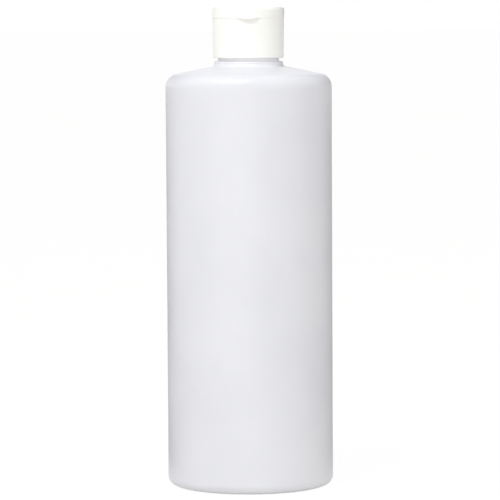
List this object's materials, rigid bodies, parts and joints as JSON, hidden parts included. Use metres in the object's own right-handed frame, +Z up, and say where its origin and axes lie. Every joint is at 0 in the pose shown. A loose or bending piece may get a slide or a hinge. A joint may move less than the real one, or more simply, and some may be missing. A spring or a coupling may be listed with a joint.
{
  "type": "flip-top bottle",
  "caption": "Tall round translucent plastic bottle with a white screw closure that opens by a hinged snap lid over a small spout.",
  "frame": {"origin": "centre of the ring that the bottle stands on, at the height of the table", "axes": "+Z up along the bottle's axis; -Y towards the thumb lip of the lid, so the living hinge is at +Y; +X to the viewer's right"},
  "size_m": [0.0636, 0.0636, 0.1833],
  "materials": {
    "bottle_plastic": "satin, blow-moulded natural polyethylene, milky and translucent",
    "closure_plastic": "smooth gloss, injection-moulded white polypropylene",
    "liner_foam": "matte, die-cut polyethylene foam"
  },
  "bodies": {
    "bottle": {"bottle": "bottle_plastic"},
    "liner": {"liner_ring": "liner_foam"},
    "cap": {"closure_base": "closure_plastic", "living_hinge": "closure_plastic"},
    "lid": {"lid": "closure_plastic"}
  },
  "joints": [
    {"name": "cap_climb", "type": "slide", "parent": "bottle", "child": "liner", "axis": [0, 0, 1], "range_m": [0, 0.0048]},
    {"name": "cap_turn", "type": "hinge", "parent": "liner", "child": "cap", "pos_m": [0, 0, 0.1779], "axis": [0, 0, 1], "range_deg": [0, 540]},
    {"name": "lid_flip", "type": "hinge", "parent": "cap", "child": "lid", "pos_m": [0, 0.01345, 0.179], "axis": [-1, 0, 0], "range_deg": [0, 135], "deforming": ["living_hinge"]}
  ],
  "couplings": [
    {"joint": "cap_climb", "follows": "cap_turn", "m_per_rad": 0.00050532}
  ]
}
